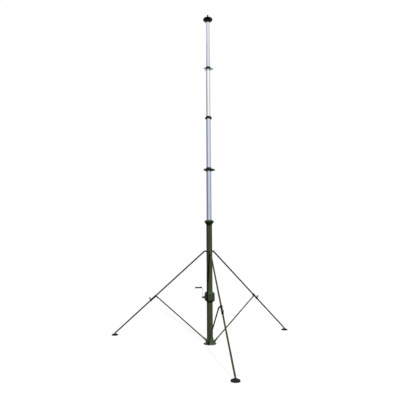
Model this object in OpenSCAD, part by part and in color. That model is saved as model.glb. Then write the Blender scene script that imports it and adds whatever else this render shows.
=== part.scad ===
// Portable telescopic radio mast on a folding tripod, raised by a hand crank.
// The origin is the centre of the base plate's underside and +Z is up.
// The front leg points along -Y and the crank handle along -X.

/* [Base] */
// Radius of the round base plate
base_plate_r = 128; // [115:1:160]
// Thickness of the base plate
base_plate_t = 10; // [6:1:16]
// Radius of the stake holes in the base plate
stake_hole_r = 7; // [4:0.5:9]
// Radius of the circle through the stake holes
stake_circle_r = 108; // [100:1:112]
// Height of the socket above the base plate
socket_h = 112; // [95:1:150]
// Wall of the socket at its top
socket_top_wall = 6; // [4:0.5:10]
// Wall of the socket at its foot
socket_foot_wall = 27; // [20:1:30]

/* [Main tube] */
// Outer diameter of the main tube
main_d = 120; // [114:1:126]
// Wall of the main tube
main_wall = 4; // [2:0.5:5]
// Height of the top of the main tube's collar
main_top_z = 2461; // [2200:1:2800]
// Height of the main tube's collar
main_collar_h = 87; // [70:1:110]
// Widest radius of the main tube's collar
main_collar_r = 99; // [90:1:110]

/* [Mast stages] */
// Outer diameter of the lowest stage tube
stage_d = 105; // [103:0.5:108]
// Step in diameter from one stage tube to the next
stage_step = 7; // [6.5:0.1:8]
// Wall of each stage tube
stage_wall = 2.5; // [2:0.1:2.6]
// Bare length of stage 1 between the collars, mast up
stage_1_bare = 1052; // [1050:1:1300]
// Bare length of stage 2 between the collars, mast up
stage_2_bare = 1103; // [1050:1:1300]
// Bare length of stage 3 between the collars, mast up
stage_3_bare = 1083; // [1050:1:1300]
// Bare length of stage 4 from the collar to the head plate, mast up
stage_4_bare = 1150; // [1050:1:1300]
// Length of each stage tube that stays inside the one below
stage_overlap = 330; // [250:1:340]
// Height of the guide ring at the foot of each stage tube
guide_ring_h = 60; // [30:1:80]
// Height of the collar on stage 1
stage_1_collar_h = 63; // [50:1:80]
// Widest radius of the collar on stage 1
stage_1_collar_r = 78; // [74:1:86]
// Height of the collar on stage 2
stage_2_collar_h = 33; // [28:1:50]
// Widest radius of the collar on stage 2
stage_2_collar_r = 80; // [70:1:90]
// Height of the collar on stage 3
stage_3_collar_h = 55; // [45:1:70]
// Radius of the collar on stage 3
stage_3_collar_r = 59; // [54:1:66]

/* [Guy rings] */
// Thickness of each guy ring
guy_ring_t = 10; // [6:1:14]
// Radius of the circle through the guy holes on stage 1
guy_1_circle_r = 126; // [115:1:140]
// Radius of the circle through the guy holes on stage 3
guy_3_circle_r = 108; // [98:1:125]
// Radius of the guy holes
guy_hole_r = 7; // [4:0.5:9]
// Radius of the rounded end of each guy lug
guy_lug_r = 14; // [12:0.5:18]

/* [Head] */
// Radius of the head plate
head_r = 106; // [95:1:120]
// Thickness of the head plate
head_t = 12; // [8:1:20]
// Radius of the circle through the head plate's bolt holes
head_circle_r = 80; // [60:1:85]
// Radius of the head plate's bolt holes
head_hole_r = 5.5; // [4:0.5:8]
// Diameter of the antenna spigot
spigot_d = 30; // [20:1:40]
// Height of the antenna spigot above the head plate
spigot_h = 108; // [80:1:160]

/* [Crank] */
// Height of the crank axis
crank_z = 905; // [800:1:1000]
// Width of the gear housing, from side to side
housing_w = 190; // [170:1:200]
// Depth of the gear housing, from front to back
housing_depth = 172; // [160:1:176]
// Height of the gear housing
housing_h = 196; // [160:1:220]
// Length of the bevels on the gear housing
housing_bevel = 30; // [20:1:34]
// Diameter of the crank shaft
crank_shaft_d = 20; // [16:1:24]
// Length of the crank arm from shaft to handle
crank_arm_l = 190; // [150:1:200]
// Thickness of the crank arm
crank_arm_t = 12; // [8:1:14]
// Distance of the crank arm from the mast axis
crank_arm_x = 138; // [132:1:145]
// Length of the crank's grip
grip_l = 140; // [100:1:160]
// Largest radius of the crank's grip
grip_r = 16; // [14:0.5:20]

/* [Tripod] */
// Distance of each foot's centre from the mast axis
foot_circle_r = 2250; // [2000:10:2500]
// Height of the leg hinges
leg_hinge_z = 1822; // [1700:1:2000]
// Distance of the leg hinges from the mast axis
leg_hinge_r = 110; // [106:1:116]
// Outer diameter of the leg tubes
leg_d = 30; // [26:1:34]
// Wall of the leg tubes
leg_wall = 2; // [1.5:0.1:3]
// Outer diameter of the braces
brace_d = 25; // [20:1:28]
// Wall of the braces
brace_wall = 2; // [1.5:0.1:3]
// Height of the brace hinges on the base
brace_hinge_z = 55; // [50:1:65]
// Distance of the brace hinges from the mast axis
brace_hinge_r = 94; // [92:1:98]
// Distance down the leg from its hinge to the brace joint
brace_joint_s = 1480; // [1300:1:1600]
// Outer diameter of the sliding sleeves
sleeve_d = 44; // [40:1:50]
// Length of the sliding sleeves
sleeve_l = 175; // [150:1:220]
// Diameter of the clamp knobs
knob_d = 38; // [30:1:46]
// Radius of the foot pads
foot_r = 70; // [60:1:80]
// Height of the ankle pins above the ground
ankle_z = 44; // [42:1:50]

/* [Hidden] */
$fn = 64;

// Angles around the mast, and how much tools overrun what they cut
front_angle = -90;
right_angle = 30;
left_angle = 150;
leg_angles = [front_angle, right_angle, left_angle];
between_legs = 60;
quarter_turn = 90;
half_turn = 180;
full_turn = 360;
hex_sides = 6;
overrun = 1;

// Clearances: pieces that are fixed together, pins that turn, tubes that slide
fixed_gap = 0.1;
pin_gap = 0.08;
slide_gap = 0.3;
face_gap = 0.5;

// Main tube and its collar
main_r = main_d / 2;
lip_t = 8;
edge_bevel = 3;
main_collar_z = main_top_z - main_collar_h;
main_collar_foot_wall = 4;
main_collar_band_shares = [0.6, 0.76];
main_collar_crown_wall = 12;
collar_screw_r = 9;
collar_screw_reach = 26;
collar_screw_head_r = 14;
collar_screw_head_t = 10;
collar_screw_share = 0.36;

// Radius of stage n, counted from 1 at the bottom, and the heights of the mast
function stage_r(n) = (stage_d - (n - 1) * stage_step) / 2;
stage_1_collar_z = main_top_z + stage_1_bare;
stage_1_top_z = stage_1_collar_z + stage_1_collar_h;
stage_2_collar_z = stage_1_top_z + stage_2_bare;
stage_2_top_z = stage_2_collar_z + stage_2_collar_h;
stage_3_collar_z = stage_2_top_z + stage_3_bare;
stage_3_top_z = stage_3_collar_z + stage_3_collar_h;
head_z = stage_3_top_z + stage_4_bare;
collar_wall = 5;
stage_1_rim_h = 10;
stage_2_hub_h = 10;
guide_ring_gap = 0.5;

// Guy rings
guy_arm_w = 20;
guy_ring_wall = 14;

// Head
head_plug_l = 60;
head_holes = 4;
spigot_flange_r = 27;
spigot_flange_t = 8;
spigot_pin_hole_r = 4;
spigot_pin_hole_drop = 20;

// Gear housing, cover and crank
shaft_r = crank_shaft_d / 2;
shaft_foot_gap = 6;
shaft_inner_x = main_r + shaft_foot_gap;
cover_r = 36;
cover_t = 12;
cover_boss_r = 22;
cover_boss_t = 10;
cover_drop = 8;
arm_hub_r = 17;
arm_end_r = 12;
shaft_nut_r = 13;
shaft_nut_t = 8;
grip_pin_r = 6;
grip_gap = 4;
grip_ridges = 4;
grip_ridge = 1.6;
grip_steps = 48;
pin_head_r = 10;
pin_head_t = 5;

// Tripod
leg_r = leg_d / 2;
brace_r = brace_d / 2;
sleeve_r = sleeve_d / 2;
leg_run = foot_circle_r - leg_hinge_r;
leg_drop = leg_hinge_z - ankle_z;
leg_l = sqrt(leg_run * leg_run + leg_drop * leg_drop);
leg_lean = atan2(leg_run, leg_drop);
brace_run = leg_hinge_r + brace_joint_s * sin(leg_lean) - brace_hinge_r;
brace_rise = leg_hinge_z - brace_joint_s * cos(leg_lean) - brace_hinge_z;
brace_l = sqrt(brace_run * brace_run + brace_rise * brace_rise);
brace_lean = atan2(brace_run, brace_rise);
brace_side_gap = 5.5;
brace_side = sleeve_r + brace_side_gap + brace_r;

// Leg collar, leg ends and their pins
leg_collar_wall = 9;
leg_collar_h = 36;
ear_t = 7;
leg_eye_t = 14;
leg_eye_r = 15;
leg_pin_r = 6;
leg_shoulder = 27;
leg_plug_l = 20;
ankle_eye_t = 12;
ankle_eye_r = 12;
ankle_pin_r = 5;
ankle_shoulder = 24;

// Base lugs and the forks of the braces
base_lug_t = 10;
base_lug_r = 14;
base_lug_lift = 6;
brace_pin_r = 5;
fork_tine_t = 6;
fork_tine_r = 12;
fork_root = 26;
fork_socket_l = 50;
fork_wall = 3;
fork_plug_l = 14;
brace_eye_r = 14;
brace_eye_t = 8;
brace_flat_l = 58;
brace_plug_l = 12;
bolt_head_r = 9;
bolt_head_t = 6;

// Sliding sleeves and knobs
sleeve_lead = 20;
sleeve_band_l = 22;
sleeve_band_h = 2;
sleeve_boss_r = 14;
knob_s = 132;
knob_boss_r = 12;
knob_boss_h = 10;
knob_reach = 30;
knob_t = 16;
knob_stem_r = 5;
knob_lobes = 6;
knob_lobe_r = 7;

// Foot pads
foot_rim_t = 7;
foot_hub_r = 26;
foot_hub_z = 26;
foot_ear_t = 6;

// Places children on the hinge end of a leg, with +Z running down the leg
module on_leg(angle) {
    rotate([0, 0, angle])
        translate([leg_hinge_r, 0, leg_hinge_z])
            rotate([0, half_turn - leg_lean, 0])
                children();
}

// Places children on the base hinge of a brace, with +Z running up the brace
module on_brace(angle) {
    rotate([0, 0, angle])
        translate([brace_hinge_r, -brace_side, brace_hinge_z])
            rotate([0, brace_lean, 0])
                children();
}

// A cylinder along Y, centred on the origin
module cross_pin(r, l) {
    rotate([quarter_turn, 0, 0])
        cylinder(r = r, h = l, center = true);
}

// A plate in the XZ plane, centred on Y, from a 2D outline in X and Z
module upright_plate(t) {
    rotate([quarter_turn, 0, 0])
        linear_extrude(height = t, center = true)
            children();
}

// An outline of two circles joined by their outer tangents, r1 at the origin, r2 at l along +Y
module link_outline(r1, r2, l) {
    slope = asin((r1 - r2) / l);
    circle(r = r1);
    translate([0, l])
        circle(r = r2);
    polygon([
        [r1 * cos(slope), r1 * sin(slope)],
        [r2 * cos(slope), l + r2 * sin(slope)],
        [-r2 * cos(slope), l + r2 * sin(slope)],
        [-r1 * cos(slope), r1 * sin(slope)]
    ]);
}

// An oblong with its four corners cut off, centred on the origin
module bevelled_oblong(w, h, bevel) {
    x = w / 2;
    y = h / 2;
    polygon([
        [x, bevel - y], [x, y - bevel], [x - bevel, y], [bevel - x, y],
        [-x, y - bevel], [-x, bevel - y], [bevel - x, -y], [x - bevel, -y]
    ]);
}

// An open tube along +Z
module tube(r, wall, l) {
    difference() {
        cylinder(r = r, h = l);
        translate([0, 0, -overrun])
            cylinder(r = r - wall, h = l + 2 * overrun);
    }
}

module base_plate() {
    color("darkolivegreen")
        difference() {
            rotate_extrude()
                polygon([
                    [0, 0],
                    [base_plate_r, 0],
                    [base_plate_r, base_plate_t - edge_bevel],
                    [base_plate_r - edge_bevel, base_plate_t],
                    [0, base_plate_t]
                ]);
            for (angle = leg_angles)
                rotate([0, 0, angle + between_legs])
                    translate([stake_circle_r, 0, -overrun])
                        cylinder(r = stake_hole_r, h = base_plate_t + 2 * overrun);
        }
}

// The flared socket that holds the main tube, with a lug for each brace
module base_socket() {
    color("darkolivegreen")
        difference() {
            union() {
                translate([0, 0, base_plate_t])
                    rotate([0, 0, between_legs])
                        cylinder(r1 = main_r + socket_foot_wall, r2 = main_r + socket_top_wall, h = socket_h);
                for (angle = leg_angles)
                    rotate([0, 0, angle])
                        translate([0, -brace_side, 0])
                            upright_plate(base_lug_t)
                                base_lug_outline();
            }
            translate([0, 0, base_plate_t - overrun])
                rotate([0, 0, between_legs])
                    cylinder(r = main_r + fixed_gap, h = socket_h + 2 * overrun);
            for (angle = leg_angles)
                rotate([0, 0, angle])
                    translate([brace_hinge_r, -brace_side, brace_hinge_z])
                        cross_pin(brace_pin_r + pin_gap, base_lug_t + 2 * overrun);
        }
}

module base_lug_outline() {
    translate([brace_hinge_r, brace_hinge_z])
        circle(r = base_lug_r);
    polygon([
        [main_r / 2, base_plate_t + base_lug_lift],
        [brace_hinge_r + base_lug_r, base_plate_t + base_lug_lift],
        [brace_hinge_r + base_lug_r, brace_hinge_z],
        [brace_hinge_r, brace_hinge_z + base_lug_r],
        [main_r / 2, brace_hinge_z + base_lug_r]
    ]);
}

module main_tube() {
    color("darkolivegreen")
        translate([0, 0, base_plate_t])
            tube(main_r, main_wall, main_top_z - lip_t - base_plate_t);
}

// The flared collar that clamps round the main tube and guides stage 1
module main_collar() {
    band_z0 = main_collar_z + main_collar_band_shares[0] * main_collar_h;
    band_z1 = main_collar_z + main_collar_band_shares[1] * main_collar_h;
    color("darkolivegreen")
        difference() {
            rotate_extrude()
                polygon([
                    [main_r + fixed_gap, main_collar_z],
                    [main_r + main_collar_foot_wall, main_collar_z],
                    [main_collar_r, band_z0],
                    [main_collar_r, band_z1],
                    [main_r + main_collar_crown_wall, main_top_z],
                    [stage_r(1) + slide_gap, main_top_z],
                    [stage_r(1) + slide_gap, main_top_z - lip_t],
                    [main_r + fixed_gap, main_top_z - lip_t]
                ]);
            rotate([0, 0, front_angle])
                translate([main_r, 0, main_collar_z + collar_screw_share * main_collar_h])
                    rotate([0, quarter_turn, 0]) {
                        cylinder(r = collar_screw_r + fixed_gap, h = main_collar_r);
                        translate([0, 0, collar_screw_reach])
                            cylinder(r = collar_screw_head_r + face_gap, h = main_collar_r);
                    }
        }
}

module main_collar_screw() {
    color("black")
        rotate([0, 0, front_angle])
            translate([main_r, 0, main_collar_z + collar_screw_share * main_collar_h])
                rotate([0, quarter_turn, 0]) {
                    translate([0, 0, fixed_gap])
                        cylinder(r = collar_screw_r, h = collar_screw_reach);
                    translate([0, 0, collar_screw_reach])
                        cylinder(r = collar_screw_head_r, h = collar_screw_head_t, $fn = hex_sides);
                }
}

// The ring on the main tube with a pair of ears for each leg
module leg_collar() {
    ear_side = leg_eye_t / 2 + face_gap + ear_t / 2;
    color("darkolivegreen")
        difference() {
            union() {
                translate([0, 0, leg_hinge_z - leg_collar_h / 2])
                    cylinder(r = main_r + leg_collar_wall, h = leg_collar_h);
                for (angle = leg_angles, side = [-1, 1])
                    rotate([0, 0, angle])
                        translate([0, side * ear_side, leg_hinge_z])
                            upright_plate(ear_t)
                                ear_outline();
            }
            translate([0, 0, leg_hinge_z - leg_collar_h])
                cylinder(r = main_r + fixed_gap, h = 2 * leg_collar_h);
            for (angle = leg_angles)
                rotate([0, 0, angle])
                    translate([leg_hinge_r, 0, leg_hinge_z])
                        cross_pin(leg_pin_r + fixed_gap, 2 * (ear_side + ear_t));
        }
}

module ear_outline() {
    translate([leg_hinge_r, 0])
        circle(r = leg_eye_r);
    translate([main_r, -leg_eye_r])
        square([leg_hinge_r - main_r, 2 * leg_eye_r]);
}

module leg_hinge_pins() {
    pin_l = leg_eye_t + 2 * (face_gap + ear_t);
    color("silver")
        for (angle = leg_angles)
            rotate([0, 0, angle])
                translate([leg_hinge_r, 0, leg_hinge_z]) {
                    cross_pin(leg_pin_r, pin_l);
                    for (side = [-1, 1])
                        translate([0, side * (pin_l + pin_head_t) / 2, 0])
                            cross_pin(pin_head_r, pin_head_t);
                }
}

// The bevelled housing round the main tube that holds the crank's gears
module gear_housing() {
    color("darkolivegreen")
        difference() {
            intersection() {
                translate([0, 0, crank_z + cover_drop])
                    linear_extrude(height = housing_h, center = true)
                        bevelled_oblong(housing_w, housing_depth, housing_bevel);
                translate([0, 0, crank_z + cover_drop])
                    upright_plate(housing_depth)
                        bevelled_oblong(housing_w, housing_h, housing_bevel);
                translate([0, 0, crank_z + cover_drop])
                    rotate([0, 0, quarter_turn])
                        upright_plate(housing_w)
                            bevelled_oblong(housing_depth, housing_h, housing_bevel);
            }
            cylinder(r = main_r + fixed_gap, h = main_top_z);
            translate([0, 0, crank_z])
                rotate([0, -quarter_turn, 0])
                    cylinder(r = shaft_r + pin_gap, h = housing_w);
        }
}

// The round bearing cover where the crank shaft comes out
module gear_cover() {
    color("darkolivegreen")
        translate([-housing_w / 2, 0, crank_z])
            rotate([0, -quarter_turn, 0])
                difference() {
                    union() {
                        cylinder(r = cover_r, h = cover_t);
                        cylinder(r = cover_boss_r, h = cover_t + cover_boss_t);
                    }
                    translate([0, 0, -overrun])
                        cylinder(r = shaft_r + pin_gap, h = cover_t + cover_boss_t + 2 * overrun);
                }
}

// Stage tube n from foot_z to top_z, with a guide ring that runs in a bore of radius bore_r
module stage_tube(n, foot_z, top_z, bore_r) {
    color("silver")
        difference() {
            union() {
                translate([0, 0, foot_z])
                    cylinder(r = stage_r(n), h = top_z - foot_z);
                translate([0, 0, foot_z])
                    cylinder(r = bore_r - guide_ring_gap, h = guide_ring_h);
            }
            translate([0, 0, foot_z - overrun])
                cylinder(r = stage_r(n) - stage_wall, h = top_z - foot_z + 2 * overrun);
        }
}

module stage_1_tube() {
    stage_tube(1, main_top_z - stage_overlap, stage_1_top_z - lip_t, main_r - main_wall);
}

module stage_2_tube() {
    stage_tube(2, stage_1_top_z - stage_overlap, stage_2_top_z - lip_t, stage_r(1) - stage_wall);
}

module stage_3_tube() {
    stage_tube(3, stage_2_top_z - stage_overlap, stage_3_top_z - lip_t, stage_r(2) - stage_wall);
}

module stage_4_tube() {
    stage_tube(4, stage_3_top_z - stage_overlap, head_z, stage_r(3) - stage_wall);
}

// The conical collar on stage 1 that guides stage 2
module stage_1_collar() {
    color("darkslategray")
        rotate_extrude()
            polygon([
                [stage_r(1) + fixed_gap, stage_1_collar_z],
                [stage_1_collar_r, stage_1_collar_z],
                [stage_1_collar_r, stage_1_collar_z + stage_1_rim_h],
                [stage_r(1) + collar_wall, stage_1_top_z - edge_bevel],
                [stage_r(1) + collar_wall - edge_bevel, stage_1_top_z],
                [stage_r(2) + slide_gap, stage_1_top_z],
                [stage_r(2) + slide_gap, stage_1_top_z - lip_t],
                [stage_r(1) + fixed_gap, stage_1_top_z - lip_t]
            ]);
}

// The flat collar on stage 2 that guides stage 3
module stage_2_collar() {
    color("darkslategray")
        rotate_extrude()
            polygon([
                [stage_r(2) + fixed_gap, stage_2_collar_z],
                [stage_r(2) + collar_wall, stage_2_collar_z],
                [stage_r(2) + collar_wall, stage_2_collar_z + stage_2_hub_h],
                [stage_2_collar_r, stage_2_collar_z + stage_2_hub_h],
                [stage_2_collar_r, stage_2_top_z - edge_bevel],
                [stage_2_collar_r - edge_bevel, stage_2_top_z],
                [stage_r(3) + slide_gap, stage_2_top_z],
                [stage_r(3) + slide_gap, stage_2_top_z - lip_t],
                [stage_r(2) + fixed_gap, stage_2_top_z - lip_t]
            ]);
}

// The plain collar on stage 3 that guides stage 4
module stage_3_collar() {
    color("darkslategray")
        rotate_extrude()
            polygon([
                [stage_r(3) + fixed_gap, stage_3_collar_z],
                [stage_3_collar_r, stage_3_collar_z],
                [stage_3_collar_r, stage_3_top_z - edge_bevel],
                [stage_3_collar_r - edge_bevel, stage_3_top_z],
                [stage_r(4) + slide_gap, stage_3_top_z],
                [stage_r(4) + slide_gap, stage_3_top_z - lip_t],
                [stage_r(3) + fixed_gap, stage_3_top_z - lip_t]
            ]);
}

// A ring under a collar on stage n, with three lugs between the legs for guy ropes
module guy_ring(n, top_z, circle_r) {
    difference() {
        translate([0, 0, top_z - guy_ring_t])
            linear_extrude(height = guy_ring_t)
                union() {
                    circle(r = stage_r(n) + guy_ring_wall);
                    for (angle = leg_angles)
                        rotate([0, 0, angle + between_legs]) {
                            translate([circle_r, 0])
                                circle(r = guy_lug_r);
                            translate([0, -guy_arm_w / 2])
                                square([circle_r, guy_arm_w]);
                        }
                }
        translate([0, 0, top_z - guy_ring_t - overrun])
            cylinder(r = stage_r(n) + fixed_gap, h = guy_ring_t + 2 * overrun);
        for (angle = leg_angles)
            rotate([0, 0, angle + between_legs])
                translate([circle_r, 0, top_z - guy_ring_t - overrun])
                    cylinder(r = guy_hole_r, h = guy_ring_t + 2 * overrun);
    }
}

module stage_1_guy_ring() {
    color("darkslategray")
        guy_ring(1, stage_1_collar_z, guy_1_circle_r);
}

module stage_3_guy_ring() {
    color("darkslategray")
        guy_ring(3, stage_3_collar_z, guy_3_circle_r);
}

// The round plate on top of stage 4, plugged into the tube
module head_plate() {
    color("black")
        difference() {
            rotate_extrude()
                polygon([
                    [0, head_z - head_plug_l],
                    [stage_r(4) - stage_wall - fixed_gap, head_z - head_plug_l],
                    [stage_r(4) - stage_wall - fixed_gap, head_z],
                    [head_r, head_z],
                    [head_r, head_z + head_t - edge_bevel],
                    [head_r - edge_bevel, head_z + head_t],
                    [0, head_z + head_t]
                ]);
            for (i = [0 : head_holes - 1])
                rotate([0, 0, (i + 1 / 2) * full_turn / head_holes])
                    translate([head_circle_r, 0, head_z - overrun])
                        cylinder(r = head_hole_r, h = head_t + 2 * overrun);
        }
}

// The spigot that an antenna is slipped over
module head_spigot() {
    spigot_r = spigot_d / 2;
    color("slategray")
        translate([0, 0, head_z + head_t])
            difference() {
                union() {
                    cylinder(r = spigot_flange_r, h = spigot_flange_t);
                    cylinder(r = spigot_r, h = spigot_h - edge_bevel);
                    translate([0, 0, spigot_h - edge_bevel])
                        cylinder(r1 = spigot_r, r2 = spigot_r - edge_bevel, h = edge_bevel);
                }
                translate([0, 0, spigot_h - spigot_pin_hole_drop])
                    cross_pin(spigot_pin_hole_r, spigot_d + 2 * overrun);
            }
}

module crank_shaft() {
    shaft_l = crank_arm_x + crank_arm_t - shaft_inner_x;
    color("gray")
        translate([-shaft_inner_x, 0, crank_z])
            rotate([0, -quarter_turn, 0]) {
                cylinder(r = shaft_r, h = shaft_l);
                translate([0, 0, shaft_l])
                    cylinder(r = shaft_nut_r, h = shaft_nut_t, $fn = hex_sides);
            }
}

module crank_arm() {
    color("silver")
        translate([-crank_arm_x, 0, crank_z])
            rotate([quarter_turn, 0, -quarter_turn])
                difference() {
                    linear_extrude(height = crank_arm_t)
                        link_outline(arm_hub_r, arm_end_r, crank_arm_l);
                    translate([0, 0, -overrun])
                        cylinder(r = shaft_r + fixed_gap, h = crank_arm_t + 2 * overrun);
                    translate([0, crank_arm_l, -overrun])
                        cylinder(r = grip_pin_r + fixed_gap, h = crank_arm_t + 2 * overrun);
                }
}

module grip_pin() {
    pin_l = crank_arm_t + grip_gap + grip_l + face_gap;
    color("gray")
        translate([-crank_arm_x, 0, crank_z + crank_arm_l])
            rotate([0, -quarter_turn, 0]) {
                cylinder(r = grip_pin_r, h = pin_l);
                translate([0, 0, pin_l])
                    cylinder(r = pin_head_r, h = pin_head_t);
            }
}

// The ribbed grip that turns on its pin
module crank_grip() {
    color("black")
        translate([-crank_arm_x - crank_arm_t - grip_gap, 0, crank_z + crank_arm_l])
            rotate([0, -quarter_turn, 0])
                difference() {
                    rotate_extrude()
                        polygon(concat(
                            [[0, 0]],
                            [for (i = [0 : grip_steps]) grip_point(i / grip_steps)],
                            [[0, grip_l]]
                        ));
                    translate([0, 0, -overrun])
                        cylinder(r = grip_pin_r + pin_gap, h = grip_l + 2 * overrun);
                }
}

// A point on the grip's wavy outline, at a share of its length
function grip_point(share) = [
    grip_r - grip_ridge * (1 - cos(full_turn * grip_ridges * share)),
    grip_l * share
];

// A leg: a tube with a hinge eye at the top and an ankle eye at the foot
module leg(angle) {
    color("darkolivegreen")
        on_leg(angle)
            difference() {
                union() {
                    translate([0, 0, leg_shoulder])
                        tube(leg_r, leg_wall, leg_l - ankle_shoulder - leg_shoulder);
                    translate([0, 0, leg_shoulder])
                        cylinder(r = leg_r, h = leg_plug_l);
                    translate([0, 0, leg_l - ankle_shoulder - leg_plug_l])
                        cylinder(r = leg_r, h = leg_plug_l);
                    upright_plate(leg_eye_t)
                        link_outline(leg_eye_r, leg_eye_r, leg_shoulder);
                    translate([0, 0, leg_l - ankle_shoulder])
                        upright_plate(ankle_eye_t)
                            link_outline(ankle_eye_r, ankle_eye_r, ankle_shoulder);
                }
                cross_pin(leg_pin_r + pin_gap, leg_d);
                translate([0, 0, leg_l])
                    cross_pin(ankle_pin_r + pin_gap, leg_d);
            }
}

module leg_front() {
    leg(front_angle);
}

module leg_right() {
    leg(right_angle);
}

module leg_left() {
    leg(left_angle);
}

// A sleeve that slides on a leg, with a side boss for the brace and one for the knob
module sleeve(angle) {
    color("darkslategray")
        on_leg(angle)
            translate([0, 0, brace_joint_s])
                difference() {
                    union() {
                        translate([0, 0, -sleeve_lead])
                            cylinder(r = sleeve_r - sleeve_band_h, h = sleeve_l);
                        for (band_s = [-sleeve_lead, sleeve_l - sleeve_lead - sleeve_band_l])
                            translate([0, 0, band_s])
                                cylinder(r = sleeve_r, h = sleeve_band_l);
                        rotate([quarter_turn, 0, 0])
                            cylinder(r = sleeve_boss_r, h = sleeve_r + brace_side_gap - slide_gap);
                        translate([0, 0, knob_s])
                            rotate([0, -quarter_turn, 0])
                                cylinder(r = knob_boss_r, h = sleeve_r + knob_boss_h);
                    }
                    translate([0, 0, -sleeve_lead - overrun])
                        cylinder(r = leg_r + slide_gap, h = sleeve_l + 2 * overrun);
                }
}

module sleeve_front() {
    sleeve(front_angle);
}

module sleeve_right() {
    sleeve(right_angle);
}

module sleeve_left() {
    sleeve(left_angle);
}

// A lobed knob on a screw that clamps the sleeve to its leg
module knob(angle) {
    color("black")
        on_leg(angle)
            translate([0, 0, brace_joint_s + knob_s])
                rotate([0, -quarter_turn, 0])
                    translate([0, 0, sleeve_r + knob_boss_h]) {
                        cylinder(r = knob_stem_r, h = knob_reach);
                        translate([0, 0, knob_reach - knob_t]) {
                            cylinder(r = knob_d / 2 - knob_lobe_r / 2, h = knob_t);
                            for (i = [1 : knob_lobes])
                                rotate([0, 0, i * full_turn / knob_lobes])
                                    translate([knob_d / 2 - knob_lobe_r, 0, 0])
                                        cylinder(r = knob_lobe_r, h = knob_t);
                        }
                    }
}

module knob_front() {
    knob(front_angle);
}

module knob_right() {
    knob(right_angle);
}

module knob_left() {
    knob(left_angle);
}

// A brace: a tube whose upper end is flattened to an eye beside the sleeve
module brace(angle) {
    eye_y = brace_r - brace_eye_t / 2;
    color("darkolivegreen")
        on_brace(angle) {
            translate([0, 0, fork_root + fork_plug_l])
                tube(brace_r, brace_wall, brace_l - brace_flat_l / 2 - fork_root - fork_plug_l);
            translate([0, 0, brace_l - brace_flat_l / 2 - brace_plug_l])
                cylinder(r = brace_r, h = brace_plug_l);
            translate([0, eye_y, brace_l - brace_flat_l])
                upright_plate(brace_eye_t)
                    link_outline(brace_r, brace_eye_r, brace_flat_l);
            translate([0, eye_y - (brace_eye_t + bolt_head_t) / 2, brace_l])
                rotate([quarter_turn, 0, 0])
                    cylinder(r = bolt_head_r, h = bolt_head_t, center = true, $fn = hex_sides);
        }
}

module brace_front() {
    brace(front_angle);
}

module brace_right() {
    brace(right_angle);
}

module brace_left() {
    brace(left_angle);
}

// The fork on a brace's lower end, with the pin that holds it on the base lug
module brace_fork(angle) {
    tine_side = base_lug_t / 2 + face_gap + fork_tine_t / 2;
    pin_l = 2 * tine_side + fork_tine_t;
    color("black")
        on_brace(angle) {
            difference() {
                union() {
                    for (side = [-1, 1])
                        translate([0, side * tine_side, 0])
                            upright_plate(fork_tine_t)
                                link_outline(fork_tine_r, brace_r, fork_root);
                    translate([0, 0, fork_root])
                        cylinder(r = brace_r + fork_wall, h = fork_socket_l);
                }
                translate([0, 0, fork_root + fork_plug_l])
                    cylinder(r = brace_r + fixed_gap, h = fork_socket_l);
                cube([fork_root, base_lug_t + 2 * face_gap, 2 * fork_root], center = true);
            }
            cross_pin(brace_pin_r, pin_l);
            for (side = [-1, 1])
                translate([0, side * (pin_l + pin_head_t) / 2, 0])
                    cross_pin(pin_head_r, pin_head_t);
        }
}

module brace_fork_front() {
    brace_fork(front_angle);
}

module brace_fork_right() {
    brace_fork(right_angle);
}

module brace_fork_left() {
    brace_fork(left_angle);
}

// A conical foot pad with two ears and the ankle pin between them
module foot_pad(angle) {
    ear_side = ankle_eye_t / 2 + face_gap + foot_ear_t / 2;
    color("black")
        rotate([0, 0, angle])
            translate([foot_circle_r, 0, 0]) {
                rotate_extrude()
                    polygon([
                        [0, 0],
                        [foot_r, 0],
                        [foot_r, foot_rim_t],
                        [foot_hub_r, foot_hub_z],
                        [0, foot_hub_z]
                    ]);
                for (side = [-1, 1])
                    translate([0, side * ear_side, foot_hub_z / 2])
                        upright_plate(foot_ear_t)
                            link_outline(ankle_eye_r, ankle_eye_r, ankle_z - foot_hub_z / 2);
                translate([0, 0, ankle_z])
                    cross_pin(ankle_pin_r, 2 * ear_side + foot_ear_t);
            }
}

module foot_pad_front() {
    foot_pad(front_angle);
}

module foot_pad_right() {
    foot_pad(right_angle);
}

module foot_pad_left() {
    foot_pad(left_angle);
}

base_plate();
base_socket();
main_tube();
main_collar();
main_collar_screw();
leg_collar();
leg_hinge_pins();
gear_housing();
gear_cover();
stage_1_tube();
stage_1_collar();
stage_1_guy_ring();
stage_2_tube();
stage_2_collar();
stage_3_tube();
stage_3_collar();
stage_3_guy_ring();
stage_4_tube();
head_plate();
head_spigot();
crank_shaft();
crank_arm();
grip_pin();
crank_grip();
leg_front();
leg_right();
leg_left();
sleeve_front();
sleeve_right();
sleeve_left();
knob_front();
knob_right();
knob_left();
brace_front();
brace_right();
brace_left();
brace_fork_front();
brace_fork_right();
brace_fork_left();
foot_pad_front();
foot_pad_right();
foot_pad_left();
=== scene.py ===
import math

import bmesh
import bpy
from mathutils import Matrix, Vector


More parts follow.
